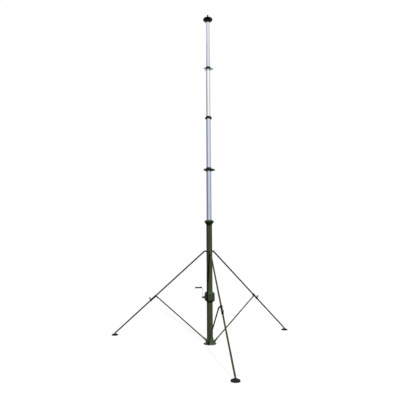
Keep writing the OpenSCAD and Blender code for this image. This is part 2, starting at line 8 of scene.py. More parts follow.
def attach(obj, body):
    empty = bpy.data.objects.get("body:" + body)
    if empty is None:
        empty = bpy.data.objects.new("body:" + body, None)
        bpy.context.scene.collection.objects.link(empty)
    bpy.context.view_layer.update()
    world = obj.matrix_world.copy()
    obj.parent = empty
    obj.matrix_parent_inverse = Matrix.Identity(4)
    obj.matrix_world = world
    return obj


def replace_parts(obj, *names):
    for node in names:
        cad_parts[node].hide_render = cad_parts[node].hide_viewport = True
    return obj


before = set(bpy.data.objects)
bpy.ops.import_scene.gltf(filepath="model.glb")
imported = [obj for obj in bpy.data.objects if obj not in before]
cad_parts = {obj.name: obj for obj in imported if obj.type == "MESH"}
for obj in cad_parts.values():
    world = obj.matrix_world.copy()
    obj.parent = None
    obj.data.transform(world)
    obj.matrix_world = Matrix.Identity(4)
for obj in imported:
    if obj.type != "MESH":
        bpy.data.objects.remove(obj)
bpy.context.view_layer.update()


# The base plate: a round steel plate, sprayed olive, that the whole mast stands on.
# Three stake holes go through it, and boots have worn its rim down to grey primer.
def screen(red, green, blue):
    """A shader colour from the values, 0 to 255, that it has on a screen."""
    levels = [value / 255 for value in (red, green, blue)]
    return tuple(v / 12.92 if v < 0.04045 else ((v + 0.055) / 1.055) ** 2.4 for v in levels) + (1,)


def deeper(colour, strength):
    """The same colour with less light in it, or with more where strength is over 1."""
    return tuple(v * strength for v in colour[:3]) + (1,)


def blank(name, metallic=0.0, gloss=0.5):
    """A new material, its node tree and its shader."""
    made = bpy.data.materials.new(name)
    made.use_nodes = True
    shader = made.node_tree.nodes["Principled BSDF"]
    shader.inputs["Metallic"].default_value = metallic
    shader.inputs["Specular IOR Level"].default_value = gloss
    return made, made.node_tree, shader


def knot(tree, kind, fed, **settings):
    """A shader node. A socket in fed is linked to it, and a number or colour is set on it."""
    made = tree.nodes.new("ShaderNode" + kind)
    for name, value in settings.items():
        setattr(made, name, value)
    for name, value in fed.items():
        if isinstance(value, bpy.types.NodeSocket):
            tree.links.new(value, made.inputs[name])
        else:
            made.inputs[name].default_value = value
    return made


def mottle(tree, size, stretch=(1, 1, 1), detail=4.0):
    """Noise with blotches of that size in metres, drawn out along the axes by stretch."""
    where = knot(tree, "TexCoord", {}).outputs["Object"]
    scale = [1 / (size * drawn) for drawn in stretch]
    laid = knot(tree, "Mapping", {"Vector": where, "Scale": scale})
    fed = {"Vector": laid.outputs[0], "Scale": 1.0, "Detail": detail}
    return knot(tree, "TexNoise", fed).outputs["Fac"]


def share(tree, value, low, high, out_low=0.0, out_high=1.0):
    """Turns the span from low to high into 0 to 1, or into another span."""
    fed = {"Value": value, "From Min": low, "From Max": high, "To Min": out_low, "To Max": out_high}
    return knot(tree, "MapRange", fed).outputs["Result"]


def both(tree, one, other, operation="MULTIPLY"):
    """Two masks made one, kept between 0 and 1."""
    return knot(tree, "Math", {0: one, 1: other}, operation=operation, use_clamp=True).outputs[0]


def layer(tree, mask, under, over):
    """One colour laid over another where the mask is 1."""
    return knot(tree, "Mix", {0: mask, 6: under, 7: over}, data_type="RGBA").outputs[2]


def facing_up(tree):
    """1 where a surface lies level and 0 where it stands upright or looks down."""
    normal = knot(tree, "NewGeometry", {}).outputs["Normal"]
    return share(tree, knot(tree, "SeparateXYZ", {0: normal}).outputs["Z"], 0.35, 0.95)


def off_line(tree, through=(0, 0, 0), across=(1, 1, 0)):
    """The distance in metres from an upright line, or with other shares across, from another line."""
    where = knot(tree, "TexCoord", {}).outputs["Object"]
    moved = knot(tree, "VectorMath", {0: where, 1: through}, operation="SUBTRACT").outputs[0]
    flat = knot(tree, "VectorMath", {0: moved, 1: across}, operation="MULTIPLY").outputs[0]
    return knot(tree, "VectorMath", {0: flat}, operation="LENGTH").outputs["Value"]


def relief(tree, shader, height, depth):
    """Raises the surface by up to depth metres where height is 1. Reliefs add up."""
    fed = {"Height": height, "Distance": depth}
    for link in shader.inputs["Normal"].links:
        fed["Normal"] = link.from_socket
    bump = knot(tree, "Bump", fed)
    tree.links.new(bump.outputs[0], shader.inputs["Normal"])


def sprayed(name, tone, rubbed=None, dust=0.5):
    """Semi-matt paint on steel: clouded, flecked, dusty where it lies level, and chipped to primer."""
    made, tree, shader = blank(name, gloss=0.05)
    primer, grit = screen(116, 120, 126), screen(124, 120, 98)
    cloud = share(tree, mottle(tree, 0.16, (1, 1, 2)), 0.3, 0.7)
    fleck = share(tree, mottle(tree, 0.0035), 0.35, 0.65)
    colour = layer(tree, cloud, deeper(tone, 0.88), deeper(tone, 1.1))
    colour = layer(tree, both(tree, fleck, 0.3), colour, deeper(tone, 0.72))
    drift = share(tree, mottle(tree, 0.03), 0.3, 0.75)
    settled = both(tree, both(tree, facing_up(tree), drift), dust)
    colour = layer(tree, settled, colour, grit)
    patch = share(tree, mottle(tree, 0.09), 0.54, 0.64)
    chip = both(tree, patch, share(tree, mottle(tree, 0.005, detail=2), 0.63, 0.66))
    scrape = both(tree, patch, share(tree, mottle(tree, 0.0016, (1, 1, 40), detail=2), 0.66, 0.7))
    worn = both(tree, chip, scrape, "MAXIMUM")
    if rubbed:
        through = share(tree, mottle(tree, 0.011), 0.36, 0.56)
        worn = both(tree, worn, both(tree, rubbed(tree), through), "MAXIMUM")
    tree.links.new(layer(tree, worn, colour, primer), shader.inputs["Base Color"])
    smooth = share(tree, mottle(tree, 0.02), 0.2, 0.8, 0.42, 0.6)
    tree.links.new(both(tree, smooth, both(tree, settled, 0.3), "ADD"), shader.inputs["Roughness"])
    relief(tree, shader, mottle(tree, 0.0022, detail=1), 0.00007)
    relief(tree, shader, both(tree, 1.0, worn, "SUBTRACT"), 0.00012)
    return made


def dress(material, *names):
    """Gives CAD nodes a material."""
    for name in names:
        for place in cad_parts[name].material_slots:
            place.material = material


def on_rim(tree):
    """1 on the plate's rim, which boots scrape."""
    return share(tree, off_line(tree), 0.118, 0.134)


olive = screen(77, 86, 62)
dress(sprayed("base_plate_paint", olive, on_rim, dust=0.3), "base_plate")


# The bead of weld that joins the socket's foot to the base plate, run round in short overlapping steps.
# It was painted over with the rest.
def piece(name, bm, material, body):
    """Makes an object of a bmesh and lets it ride on a body, smooth but for its sharp edges."""
    crease = math.radians(35)
    bmesh.ops.remove_doubles(bm, verts=bm.verts, dist=0.000002)
    bmesh.ops.recalc_face_normals(bm, faces=bm.faces)
    mesh = bpy.data.meshes.new(name)
    bm.to_mesh(mesh)
    bm.free()
    mesh.materials.append(material)
    mesh.shade_smooth()
    mesh.set_sharp_from_angle(angle=crease)
    made = bpy.data.objects.new(name, mesh)
    bpy.context.scene.collection.objects.link(made)
    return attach(made, body)


bead_reach, bead_level, bead_size, bead_swell, ripples = 0.088, 0.010, 0.0042, 0.16, 72
weld = bmesh.new()
upright = Matrix.Translation((bead_reach, 0, bead_level)) @ Matrix.Rotation(math.pi / 2, 4, "X")
bmesh.ops.create_circle(weld, segments=8, radius=bead_size, matrix=upright)
section = weld.verts[:] + weld.edges[:]
bmesh.ops.spin(weld, geom=section, axis=(0, 0, 1), angle=math.tau, steps=ripples * 4, use_merge=True)
for vert in weld.verts:
    swell = 1 + bead_swell * math.sin(ripples * math.atan2(vert.co.y, vert.co.x))
    core = vert.co.xy.normalized() * bead_reach
    vert.co = Vector((*core, bead_level)).lerp(vert.co, swell)
piece("base_weld", weld, sprayed("weld_paint", deeper(olive, 0.8), dust=0.6), "mast_base")


# The base socket: a flared steel cone with a lug for each brace, pressed over the foot of the main tube.
# Its lugs are rubbed round the pins, where the forks turn.
def near_lugs(tree):
    """1 where the socket's lugs stand out."""
    return share(tree, off_line(tree), 0.088, 0.1)


dress(sprayed("socket_paint", olive, near_lugs, dust=0.3), "base_socket")


# Three hexagon bolts through the socket's wall clamp the main tube. They are zinc plated,
# dulled by the weather, and sit on washers.
def zinc(name, tone=screen(186, 187, 186), dulled=0.35):
    """Zinc plate: crystals of slightly different grey, a fine grain and dull brown-grey stains."""
    made, tree, shader = blank(name, 1.0)
    where = knot(tree, "TexCoord", {}).outputs["Object"]
    crystal = knot(tree, "TexVoronoi", {"Vector": where, "Scale": 420.0}).outputs["Color"]
    grey = knot(tree, "SeparateColor", {0: crystal}).outputs[0]
    colour = layer(tree, grey, deeper(tone, 0.82), tone)
    stain = both(tree, share(tree, mottle(tree, 0.012), 0.5, 0.72), dulled)
    colour = layer(tree, stain, colour, screen(104, 98, 88))
    tree.links.new(colour, shader.inputs["Base Color"])
    tree.links.new(share(tree, mottle(tree, 0.006), 0.25, 0.75, 0.28, 0.5), shader.inputs["Roughness"])
    relief(tree, shader, mottle(tree, 0.0008, detail=2), 0.00003)
    return made


def outwards(angle):
    """The level direction at an angle round the mast."""
    return Vector((math.cos(angle), math.sin(angle), 0))


def stand(point, along):
    """The place of a shape whose own Z axis points along a direction."""
    return Matrix.Translation(point) @ Vector(along).to_track_quat("Z", "Y").to_matrix().to_4x4()


def turned(bm, outline, place=Matrix(), steps=40):
    """Spins an outline of (radius, height) points about the Z axis of a place."""
    known = set(bm.verts)
    points = [bm.verts.new((radius, 0, height)) for radius, height in outline]
    if outline[0][0] or outline[-1][0]:
        pairs = zip(points, points[1:] + points[:1])
    else:
        pairs = zip(points, points[1:])
    edges = [bm.edges.new(pair) for pair in pairs]
    bmesh.ops.spin(bm, geom=points + edges, axis=(0, 0, 1), angle=math.tau, steps=steps, use_merge=True)
    bmesh.ops.transform(bm, matrix=place, verts=[vert for vert in bm.verts if vert not in known])


def hex_bolt(bm, place, across, height, washer=0.0016):
    """A hexagon head with a chamfered top on a round washer, standing on the XY plane of a place."""
    wide, soft, corner = across * 0.68, washer * 0.3, across / math.sqrt(3)
    disc = [(0, 0), (wide, 0), (wide, washer - soft), (wide - soft, washer), (0, washer)]
    turned(bm, disc, place, 24)
    middle = place @ Matrix.Translation((0, 0, washer + height / 2))
    sizes = {"radius1": corner, "radius2": corner, "depth": height}
    head = bmesh.ops.create_cone(bm, cap_ends=True, segments=6, matrix=middle, **sizes)["verts"]
    upwards = middle.inverted()
    top = [vert for vert in head if (upwards @ vert.co).z > 0]
    rim = [edge for edge in bm.edges if edge.verts[0] in top and edge.verts[1] in top]
    chamfer = height * 0.14
    bmesh.ops.bevel(bm, geom=rim, offset=chamfer, affect="EDGES", segments=2, profile=0.5, material=-1)


bolt_zinc = zinc("bolt_zinc")
between_legs = [math.radians(angle) for angle in (-30, 90, 210)]
wall_reach, wall_level, wall_flare = 0.0702, 0.096, 0.19
clamps = bmesh.new()
for angle in between_legs:
    out = outwards(angle)
    seat = stand(out * wall_reach + Vector((0, 0, wall_level)), out + Vector((0, 0, wall_flare)))
    hex_bolt(clamps, seat, across=0.013, height=0.0075)
piece("socket_bolts", clamps, bolt_zinc, "mast_base")


# The main tube: 120 mm welded steel tube, sprayed olive, that holds the four stages.
# Transport straps have scuffed it lengthwise.
dress(sprayed("main_tube_paint", olive), "main_tube")


# The main tube's collar: a flared casting that guides the lowest stage, sprayed with the tube.
# The paint is thin on its widest band, which touches the ground when the mast is laid down.
def on_band(tree):
    """0.2 on the collar's widest band, where the paint is only thin."""
    return both(tree, share(tree, off_line(tree), 0.097, 0.1), 0.2)


dress(sprayed("main_collar_paint", deeper(olive, 0.82), on_band, dust=0.3), "main_collar")


# A black rubber wiper ring, pressed into the collar's mouth, keeps grit off the sliding stage.
# Its lip lies against the aluminium.
def rubber(name, tone=screen(26, 26, 29), dust=0.4, bloomed=0.5):
    """Matt rubber, greyed by dust and slightly pitted."""
    made, tree, shader = blank(name, gloss=0.12)
    bloom = share(tree, mottle(tree, 0.018), 0.35, 0.8)
    colour = layer(tree, both(tree, bloom, bloomed), tone, screen(52, 52, 54))
    settled = both(tree, both(tree, facing_up(tree), share(tree, mottle(tree, 0.007), 0.35, 0.7)), dust)
    tree.links.new(layer(tree, settled, colour, screen(104, 99, 86)), shader.inputs["Base Color"])
    tree.links.new(share(tree, bloom, 0, 1, 0.62, 0.82), shader.inputs["Roughness"])
    relief(tree, shader, mottle(tree, 0.0016, detail=3), 0.00012)
    return made


wiper_rubber = rubber("wiper_rubber")


def wiper(name, body, bore, outer, height):
    """A rubber lip ring that stands 4 mm proud of a collar's top."""
    ring = bmesh.new()
    lip = [(bore + 0.0007, 0), (outer, 0), (outer, 0.0018), (outer - 0.002, 0.0032)]
    lip += [(bore + 0.0035, 0.004), (bore + 0.0007, 0.003)]
    turned(ring, lip, Matrix.Translation((0, 0, height)), 64)
    piece(name, ring, wiper_rubber, body)


wiper("main_wiper", "mast_base", bore=0.0525, outer=0.067, height=2.461)


# Cap screws hold the wiper rings and guide bushes in the collars.
# They are steel, blackened in oil, with round heads and a recess for the key.
def blackened(name, tone=screen(38, 38, 40), metallic=0.6):
    """Blackened steel, oily, with grey showing through where keys and hands have rubbed it."""
    made, tree, shader = blank(name, metallic, gloss=0.15)
    rubbed = both(tree, share(tree, mottle(tree, 0.004), 0.56, 0.7), 0.6)
    tree.links.new(layer(tree, rubbed, tone, screen(98, 98, 99)), shader.inputs["Base Color"])
    tree.links.new(share(tree, mottle(tree, 0.009), 0.3, 0.7, 0.34, 0.52), shader.inputs["Roughness"])
    relief(tree, shader, mottle(tree, 0.0009, detail=2), 0.00003)
    return made


cap_black = blackened("cap_black")


def cap_screw(bm, place, radius, height):
    """A round head with a rounded rim and a hollow for the key."""
    soft, key = radius * 0.16, radius * 0.52
    head = [(0, 0), (radius, 0), (radius, height - soft), (radius - soft, height)]
    turned(bm, head + [(key, height), (key, height * 0.45), (0, height * 0.35)], place, 20)


def ring_of_screws(name, body, reach, height, radius):
    """Three screws that point outwards, at a distance from the mast's axis, between the legs."""
    screws = bmesh.new()
    for angle in between_legs:
        out = outwards(angle)
        cap_screw(screws, stand(out * reach + Vector((0, 0, height)), out), radius, radius * 1.1)
    piece(name, screws, cap_black, body)


ring_of_screws("main_collar_caps", "mast_base", reach=0.0988, height=2.433, radius=0.006)


# The collar's clamp screw: a big hexagon head on the front of the main tube's collar.
# It is blackened steel, as the cap screws are.
dress(cap_black, "main_collar_screw")


# The leg collar: a steel ring with a pair of ears for each leg, clamped round the main tube.
# The ears are rubbed bare round the hinge pins.
def by_ears(tree):
    """1 where the collar's ears stand out."""
    return share(tree, off_line(tree), 0.1, 0.125)


dress(sprayed("leg_collar_paint", olive, by_ears, dust=0.2), "leg_collar")


# The leg hinge pins: steel, through the ears, each closed by a hexagon nut. Three bolts between the legs
# clamp the ring to the tube. All were sprayed over with the ring.
pin_paint = sprayed("pin_paint", deeper(olive, 0.7), dust=0.2)
dress(pin_paint, "leg_hinge_pins")
leg_turns = {"front": math.radians(-90), "right": math.radians(30), "left": math.radians(150)}
hinge_reach, hinge_level, pin_end, ring_reach = 0.110, 1.822, 0.0195, 0.0688
pin_nuts = bmesh.new()
for turn in leg_turns.values():
    nut_seat = Matrix.Rotation(turn, 4, "Z") @ stand((hinge_reach, pin_end, hinge_level), (0, 1, 0))
    hex_bolt(pin_nuts, nut_seat, across=0.013, height=0.005, washer=0.001)
for angle in between_legs:
    out = outwards(angle)
    seat = stand(out * ring_reach + Vector((0, 0, hinge_level)), out)
    hex_bolt(pin_nuts, seat, across=0.013, height=0.0075)
piece("leg_collar_nuts", pin_nuts, pin_paint, "mast_base")


# The gear housing: a bevelled cast box in two halves round the main tube. It is sprayed olive over
# a sand-cast skin, and painted darker and glossier round the crank's cover on its left: painted shade.
def sand_cast(name, tone, painted_shade=None, dust=0.6, skin=0.00028):
    """Paint over a sand-cast skin: grainy, clouded, with painted shade in the low grains, rubbed through on
    the high grains.
    """
    made, tree, shader = blank(name, gloss=0.06)
    cloud = share(tree, mottle(tree, 0.07), 0.3, 0.7)
    colour = layer(tree, cloud, deeper(tone, 0.88), deeper(tone, 1.08))
    grain = mottle(tree, 0.0032, detail=3)
    # The skin's low grains are darkened: painted shade.
    sunk_grain_shade = both(tree, share(tree, grain, 0.3, 0.45, 1, 0), 0.5)
    colour = layer(tree, sunk_grain_shade, colour, deeper(tone, 0.45))
    settled = both(tree, both(tree, facing_up(tree), share(tree, mottle(tree, 0.02), 0.3, 0.75)), dust)
    colour = layer(tree, settled, colour, screen(122, 119, 98))
    high = both(tree, share(tree, grain, 0.66, 0.7), share(tree, mottle(tree, 0.05), 0.5, 0.65))
    colour = layer(tree, high, colour, screen(126, 128, 130))
    rough = share(tree, grain, 0.2, 0.8, 0.5, 0.68)
    # Where a painted shade mask is given, the colour is darkened there as painted shade and made glossier.
    if painted_shade:
        shade_mask = painted_shade(tree)
        colour = layer(tree, both(tree, shade_mask, 0.75), colour, screen(22, 21, 16))
        rough = both(tree, rough, share(tree, shade_mask, 0, 1, 1, 0.45))
    tree.links.new(colour, shader.inputs["Base Color"])
    tree.links.new(rough, shader.inputs["Roughness"])
    relief(tree, shader, grain, skin)
    relief(tree, shader, mottle(tree, 0.02, detail=1), 0.0004)
    return made


def shade_round_cover(tree):
    """Painted shade round the crank's cover, on the housing's left."""
    ring = share(tree, off_line(tree, (0, 0, 0.9), (0, 1, 0.8)), 0.03, 0.056, 1, 0)
    left = share(tree, off_line(tree, (-0.11, 0, 0), (1, 0, 0)), 0.012, 0.03, 1, 0)
    return both(tree, both(tree, ring, left), share(tree, mottle(tree, 0.012), 0.35, 0.6))


dress(sand_cast("housing_paint", deeper(olive, 0.85), shade_round_cover, dust=0.15), "gear_housing")


# A thin rubber gasket lies in the joint between the housing's halves and shows a little proud of it.
# It follows the housing's eight-sided outline.
def just_verts(parts):
    """The vertices among the parts that an extrusion made."""
    return [part for part in parts if isinstance(part, bmesh.types.BMVert)]


seam = bmesh.new()
wide, tall, cut, housing_level, seam_width = 0.0955, 0.0985, 0.030, 0.913, 0.002
corners = [(wide, cut - tall), (wide, tall - cut), (wide - cut, tall), (cut - wide, tall)]
corners += [(-x, -z) for x, z in corners]
rim = [seam.verts.new((x, -seam_width / 2, housing_level + z)) for x, z in corners]
loop = [seam.edges.new(pair) for pair in zip(rim, rim[1:] + rim[:1])]
band = bmesh.ops.extrude_edge_only(seam, edges=loop)["geom"]
bmesh.ops.translate(seam, verts=just_verts(band), vec=(0, seam_width, 0))
bmesh.ops.recalc_face_normals(seam, faces=seam.faces)
bmesh.ops.solidify(seam, geom=seam.faces[:], thickness=0.0012)
piece("housing_gasket", seam, wiper_rubber, "mast_base")


# Cap screws draw the housing's halves together, four on the front and four on the back.
# A hexagon plug on the right drains the oil.
cap_columns, cap_rows, cap_face = (-0.05, 0.05), (0.861, 0.965), 0.0858
housing_caps = bmesh.new()
for side in (-1, 1):
    for x in cap_columns:
        for z in cap_rows:
            seat = stand((x, side * cap_face, z), (0, side, 0))
            cap_screw(housing_caps, seat, radius=0.0065, height=0.007)
piece("housing_caps", housing_caps, cap_black, "mast_base")
plug_seat = stand((0.0948, 0, 0.866), (1, 0, 0))
plug = bmesh.new()
hex_bolt(plug, plug_seat, across=0.017, height=0.008, washer=0.002)
piece("oil_plug", plug, bolt_zinc, "mast_base")


# The crank's cover: a round casting that carries the shaft's bearing, held by six hexagon bolts.
# It is painted near-black all over: painted shade, for it sits in the shade on the housing's left.
# The cover's olive is cut to a quarter: painted shade.
dress(sand_cast("cover_painted_shade", deeper(olive, 0.25), shade_round_cover, dust=0.2), "gear_cover")
crank_level, bolt_circle, cover_face = 0.905, 0.029, -0.1068
cover_bolts = bmesh.new()
for i in range(6):
    turn = math.radians(30 + 60 * i)
    point = (cover_face, bolt_circle * math.cos(turn), crank_level + bolt_circle * math.sin(turn))
    hex_bolt(cover_bolts, stand(point, (-1, 0, 0)), across=0.008, height=0.005, washer=0.001)
piece("cover_bolts", cover_bolts, bolt_zinc, "mast_base")


# The crank shaft: blackened steel, with a hub behind the arm.
# A spring washer and a domed nut hold the arm from the front.
def on_shaft(x):
    """A place on the shaft, facing away from the mast."""
    return stand((x, 0, crank_level), (-1, 0, 0))


dress(cap_black, "crank_shaft")
hub_back, arm_front, nut_back = -0.1215, -0.15, -0.1522
washer = bmesh.new()
coil = [(0.0105, 0), (0.0165, 0), (0.0168, 0.001), (0.0165, 0.002), (0.0105, 0.002)]
turned(washer, coil, on_shaft(arm_front), 32)
piece("crank_washer", washer, cap_black, "crank")
crank_hub = bmesh.new()
ring = [(0.0105, 0), (0.0170, 0), (0.0170, 0.0135), (0.0150, 0.0155), (0.0105, 0.0155)]
turned(crank_hub, ring, on_shaft(hub_back))
dome = [(0, 0), (0.0165, 0), (0.0165, 0.003), (0.0145, 0.006), (0.009, 0.0080), (0, 0.0086)]
turned(crank_hub, dome, on_shaft(nut_back))
piece("crank_hub", crank_hub, cap_black, "crank")


# The crank arm: a flat forged bar, zinc plated bright, from the shaft up to the grip. Oil has blackened
# its foot round the shaft. The pin that the grip turns on is ground steel.
def ground_steel(name, along):
    """Machined steel with fine tool marks, a brown tinge of grease and dull handling marks."""
    made, tree, shader = blank(name, 1.0)
    tone = screen(176, 178, 180)
    marks = mottle(tree, 0.0011, along, detail=2)
    colour = layer(tree, share(tree, marks, 0.3, 0.7), deeper(tone, 0.84), tone)
    greasy = both(tree, share(tree, mottle(tree, 0.014), 0.5, 0.7), 0.4)
    tree.links.new(layer(tree, greasy, colour, screen(92, 84, 70)), shader.inputs["Base Color"])
    tree.links.new(share(tree, mottle(tree, 0.01), 0.3, 0.7, 0.24, 0.42), shader.inputs["Roughness"])
    relief(tree, shader, marks, 0.00003)
    return made


arm_zinc = zinc("arm_zinc", screen(232, 233, 233), 0.15)
tree = arm_zinc.node_tree
arm_colour = tree.nodes["Principled BSDF"].inputs["Base Color"]
oiled = share(tree, off_line(tree, (0, 0, crank_level), (0, 1, 1)), 0.018, 0.027, 0.9, 0)
tree.links.new(layer(tree, oiled, arm_colour.links[0].from_socket, screen(24, 24, 22)), arm_colour)
dress(arm_zinc, "crank_arm")
dress(ground_steel("grip_pin_steel", along=(0.5, 6, 6)), "grip_pin")


# The grip: a barrel moulded in black plastic, with four waves for the fingers.
# Hands have greyed and polished it.
def moulded(name, tone):
    """Moulded plastic with a fine leather grain, painted shade in its hollows, polished and greyed on its
    crowns.
    """
    made, tree, shader = blank(name, gloss=0.15)
    grain = 0.0009
    where = knot(tree, "TexCoord", {}).outputs["Object"]
    cells = knot(tree, "TexVoronoi", {"Vector": where, "Scale": 1 / grain}).outputs["Distance"]
    hands = share(tree, mottle(tree, 0.025), 0.35, 0.7)
    colour = layer(tree, both(tree, hands, 0.6), tone, deeper(tone, 1.9))
    # The grain's hollows are darkened: painted shade.
    hollow_grain_shade = both(tree, share(tree, cells, 0.1, 0.6, 0.5, 0), 0.6)
    tree.links.new(layer(tree, hollow_grain_shade, colour, deeper(tone, 0.6)), shader.inputs["Base Color"])
    tree.links.new(share(tree, hands, 0, 1, 0.55, 0.4), shader.inputs["Roughness"])
    relief(tree, shader, cells, 0.00008)
    return made


dress(moulded("grip_plastic", screen(50, 50, 53)), "crank_grip")


# The four stages: drawn aluminium tubes, left bare. They are streaked along their length by the die,
# greyed by handling, and ringed by grit under the wipers.
def drawn_aluminium(name, tone):
    """Bare drawn metal: fine and wide die lines, hazy smears and faint rings."""
    made, tree, shader = blank(name, 1.0)
    lines = mottle(tree, 0.0014, (1, 1, 300), detail=3)
    wide_lines = mottle(tree, 0.009, (1, 1, 120), detail=2)
    colour = layer(tree, share(tree, wide_lines, 0.3, 0.7), deeper(tone, 0.9), tone)
    colour = layer(tree, both(tree, share(tree, lines, 0.35, 0.65), 0.35), colour, deeper(tone, 0.78))
    smear = both(tree, share(tree, mottle(tree, 0.07, (1, 1, 2.5)), 0.45, 0.75), 0.4)
    colour = layer(tree, smear, colour, deeper(tone, 0.7))
    ring = both(tree, share(tree, mottle(tree, 0.004, (60, 60, 1), detail=3), 0.62, 0.7), 0.3)
    colour = layer(tree, ring, colour, deeper(tone, 0.55))
    tree.links.new(colour, shader.inputs["Base Color"])
    rough = both(tree, share(tree, lines, 0.25, 0.75, 0.17, 0.27), both(tree, smear, 0.15), "ADD")
    tree.links.new(rough, shader.inputs["Roughness"])
    relief(tree, shader, lines, 0.00002)
    return made


# Each stage's base tone is set lighter or darker for how brightly it catches the light: painted light and
# shade.
tube_tones_painted_light = {
    "stage_1_tube": screen(204, 213, 230),
    "stage_2_tube": screen(222, 229, 240),
    "stage_3_tube": screen(246, 250, 255),
    "stage_4_tube": screen(216, 221, 231),
}
for name, tone in tube_tones_painted_light.items():
    dress(drawn_aluminium(name + "_finish", tone), name)


# The stage collars: dark painted castings at the top of each stage, the next stage's guide inside. The
# second is a bell with a wide skirt. Each has a rubber wiper on its mouth and three cap screws round it.
dark_cast = sand_cast("collar_paint", screen(30, 35, 25), dust=0.2)
dress(dark_cast, "stage_1_collar", "stage_3_collar")
bell = bmesh.new()
skirt = [(0.0498, 4.664), (0.070, 4.664), (0.0735, 4.667), (0.0735, 4.684)]
crown = [(0.0575, 4.709), (0.0545, 4.712), (0.0465, 4.712), (0.0465, 4.704), (0.0498, 4.704)]
turned(bell, skirt + crown, steps=96)
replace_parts(piece("stage_2_bell", bell, dark_cast, "stage_2"), "stage_2_collar")
wiper("stage_1_wiper", "stage_1", bore=0.049, outer=0.0545, height=3.576)
wiper("stage_2_wiper", "stage_2", bore=0.0455, outer=0.054, height=4.712)
wiper("stage_3_wiper", "stage_3", bore=0.042, outer=0.0555, height=5.850)
ring_of_screws("stage_1_caps", "stage_1", reach=0.0778, height=3.518, radius=0.004)
ring_of_screws("stage_2_caps", "stage_2", reach=0.0733, height=4.6755, radius=0.0055)
ring_of_screws("stage_3_caps", "stage_3", reach=0.0588, height=5.826, radius=0.0055)


# The guy rings: flat steel plates with three lugs, clamped under the collars of stages 1 and 3.
# The lower one is painted and the upper one is galvanized. Rope has rubbed both at their holes.
def at_lugs(tree):
    """1 where a guy ring's lugs stand out."""
    return share(tree, off_line(tree), 0.1, 0.125)


guy_paint = sprayed("guy_ring_paint", screen(66, 74, 52), at_lugs, dust=0.2)
guy_zinc = zinc("guy_ring_zinc", screen(150, 163, 168), 0.35)
dress(guy_paint, "stage_1_guy_ring")
dress(guy_zinc, "stage_3_guy_ring")


# The sides of the guy rings' arms: steel cheeks that keep each arm from bending.
# They are welded along it, high at the collar and low at the lug.
def cheek(bm, outline, turn, side):
    """An upright plate in line with an arm, cut to an outline of (reach, height) points."""
    thickness = 0.0025
    corners = [bm.verts.new((reach, height, 0)) for reach, height in outline]
    raised = bmesh.ops.extrude_face_region(bm, geom=[bm.faces.new(corners)])["geom"]
    far = just_verts(raised)
    bmesh.ops.translate(bm, verts=far, vec=(0, 0, thickness))
    beside = Matrix.Rotation(turn, 4, "Z") @ Matrix.Translation((0, side, 0))
    bmesh.ops.transform(bm, matrix=beside @ Matrix.Rotation(math.pi / 2, 4, "X"), verts=corners + far)


def cheeks(name, outline, material, body):
    """A pair of cheeks on each of a guy ring's three arms."""
    plates = bmesh.new()
    for turn in between_legs:
        for side in (0.010, -0.0075):
            cheek(plates, outline, turn, side)
    piece(name, plates, material, body)


low_cheek = [(0.0795, 3.5128), (0.130, 3.5128), (0.134, 3.517), (0.132, 3.536)]
low_cheek += [(0.125, 3.541), (0.0715, 3.553), (0.0795, 3.5245)]
cheeks("stage_1_cheeks", low_cheek, guy_paint, "stage_1")
high_cheek = [(0.0598, 5.7948), (0.112, 5.7948), (0.116, 5.799)]
high_cheek += [(0.113, 5.807), (0.107, 5.811), (0.0598, 5.836)]
cheeks("stage_3_cheeks", high_cheek, guy_zinc, "stage_3")


# The head plate: a round plate of blackened steel, plugged into the top stage, that antennas are bolted to.
# The spigot on it is blackened too, and four small hexagon screws hold its flange.
head_black = blackened("head_black", screen(20, 20, 21), 0.1)
dress(head_black, "head_plate")
dress(blackened("spigot_black", screen(40, 40, 42), 0.3), "head_spigot")
flange_circle, flange_top = 0.021, 7.0198
head_screws = bmesh.new()
for i in range(4):
    turn = math.radians(90 * i)
    seat = Matrix.Translation((flange_circle * math.cos(turn), flange_circle * math.sin(turn), flange_top))
    hex_bolt(head_screws, seat, across=0.007, height=0.004, washer=0.001)
piece("head_screws", head_screws, cap_black, "stage_4")


# The head's hub: a black steel socket welded under the plate, round the top of the last stage.
# Three grub screws through its wall keep it from turning.
hub = bmesh.new()
hub_wall = [(0.0427, 6.938), (0.054, 6.938), (0.056, 6.940), (0.056, 6.992)]
hub_rim = [(0.060, 6.9965), (0.060, 6.9995), (0.0427, 6.9995)]
turned(hub, hub_wall + hub_rim, steps=64)
piece("head_hub", hub, head_black, "stage_4")
ring_of_screws("head_hub_screws", "stage_4", reach=0.0555, height=6.965, radius=0.0045)


# The three legs: olive steel tubes with a hinge eye at the top and an ankle eye at the foot.
# The sliding sleeve has scored the paint along them. Rivets hold the plugs of the eyes.
foot_reach, ankle_level = 2.250, 0.044
leg_run, leg_drop = foot_reach - hinge_reach, hinge_level - ankle_level
leg_lean, leg_length = math.atan2(leg_run, leg_drop), math.hypot(leg_run, leg_drop)


def down_leg(turn):
    """The place of a leg's hinge, with Z running down the leg and -X on its upper side."""
    hinge = Matrix.Rotation(turn, 4, "Z") @ Matrix.Translation((hinge_reach, 0, hinge_level))
    return hinge @ Matrix.Rotation(math.pi - leg_lean, 4, "Y")


def rivet(bm, place, radius):
    """A low domed rivet head."""
    tall = radius * 0.55
    arc = [math.radians(angle) for angle in (0, 30, 60)]
    dome = [(radius * math.cos(a), tall * math.sin(a)) for a in arc]
    turned(bm, [(0, -0.0005), (radius, -0.0005)] + dome + [(0, tall)], place, 16)


leg_paint = sprayed("leg_paint", screen(60, 69, 41), dust=0.1)
leg_side, hinge_plug, ankle_plug = 0.0149, 0.037, 0.034
for side, turn in leg_turns.items():
    dress(leg_paint, "leg_" + side)
    rivets = bmesh.new()
    for along in (hinge_plug, leg_length - ankle_plug):
        for facing in (-1, 1):
            rivet(rivets, down_leg(turn) @ stand((0, facing * leg_side, along), (0, facing, 0)), 0.004)
    piece("leg_rivets_" + side, rivets, bolt_zinc, "leg_" + side)


